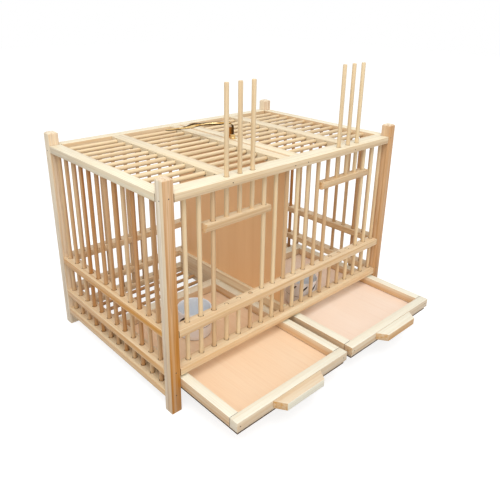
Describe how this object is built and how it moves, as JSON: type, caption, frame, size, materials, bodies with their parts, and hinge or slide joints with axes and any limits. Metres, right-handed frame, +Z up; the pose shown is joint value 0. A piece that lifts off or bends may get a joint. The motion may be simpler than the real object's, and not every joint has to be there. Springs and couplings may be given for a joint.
{
  "type": "divided stick cage",
  "caption": "Wooden cage of round sticks in square-post framing, with a centre divider, lift-up doors, pull-out trays, china cups and a swivelling roof hook.",
  "frame": {"origin": "on the floor, under the middle of the whole outline with the trays pulled out as pictured", "axes": "+X to the right along the front, +Y from the trays towards the back wall, +Z up"},
  "size_m": [0.528, 0.4948, 0.4905],
  "materials": {
    "post_wood": "bare softwood, satin",
    "rail_wood": "bare softwood, satin",
    "stick_wood": "bare turned sticks, satin",
    "plywood": "bare plywood",
    "tray_wood": "bare softwood, satin",
    "tray_plywood": "bare plywood",
    "china": "glazed white china",
    "brass": "worn polished brass"
  },
  "bodies": {
    "cage": {"post_front_left": "post_wood", "post_front_right": "post_wood", "post_back_left": "post_wood", "post_back_right": "post_wood", "front_top_rail": "rail_wood", "front_middle_rail_and_sticks": "stick_wood", "front_lower_rail": "rail_wood", "back_top_rail": "rail_wood", "back_middle_rail_and_sticks": "stick_wood", "back_lower_rail": "rail_wood", "back_bottom_rail": "rail_wood", "left_top_rail": "rail_wood", "left_middle_rail_and_sticks": "stick_wood", "left_lower_rail": "rail_wood", "right_top_rail": "rail_wood", "right_middle_rail_and_sticks": "stick_wood", "right_lower_rail": "rail_wood", "left_bottom_rail_and_floor_sticks": "stick_wood", "centre_board": "rail_wood", "right_bottom_rail": "rail_wood", "roof_left_bars_and_sticks": "stick_wood", "roof_right_bars_and_sticks": "stick_wood", "hook_base": "brass"},
    "left_door": {"left_door_bar": "rail_wood", "left_door_rod_1": "stick_wood", "left_door_rod_2": "stick_wood", "left_door_rod_3": "stick_wood"},
    "right_door": {"right_door_bar": "rail_wood", "right_door_rod_1": "stick_wood", "right_door_rod_2": "stick_wood", "right_door_rod_3": "stick_wood"},
    "left_tray": {"left_tray_front_bar": "tray_wood", "left_tray_back_bar": "tray_wood", "left_tray_left_bar": "tray_wood", "left_tray_right_bar": "tray_wood", "left_tray_board": "tray_plywood", "left_tray_pull": "tray_wood", "left_cup": "china"},
    "right_tray": {"right_tray_front_bar": "tray_wood", "right_tray_back_bar": "tray_wood", "right_tray_left_bar": "tray_wood", "right_tray_right_bar": "tray_wood", "right_tray_board": "tray_plywood", "right_tray_pull": "tray_wood", "right_cup": "china"},
    "divider": {"divider": "plywood"},
    "hook": {"hook_arm": "brass"}
  },
  "joints": [
    {"name": "left_door_lift", "type": "slide", "parent": "cage", "child": "left_door", "axis": [0, 0, 1], "range_m": [-0.1361, 0.0491]},
    {"name": "right_door_lift", "type": "slide", "parent": "cage", "child": "right_door", "axis": [0, 0, 1], "range_m": [-0.1431, 0.0421]},
    {"name": "left_tray_slide", "type": "slide", "parent": "cage", "child": "left_tray", "axis": [0, 1, 0], "range_m": [0, 0.1212]},
    {"name": "right_tray_slide", "type": "slide", "parent": "cage", "child": "right_tray", "axis": [0, 1, 0], "range_m": [0, 0.1212]},
    {"name": "divider_lift", "type": "slide", "parent": "cage", "child": "divider", "axis": [0, 0, 1], "range_m": [0, 0.025]},
    {"name": "hook_swivel", "type": "hinge", "parent": "cage", "child": "hook", "pos_m": [0.0125, 0.0754, 0.3513], "axis": [0, 0, 1], "continuous": true}
  ]
}
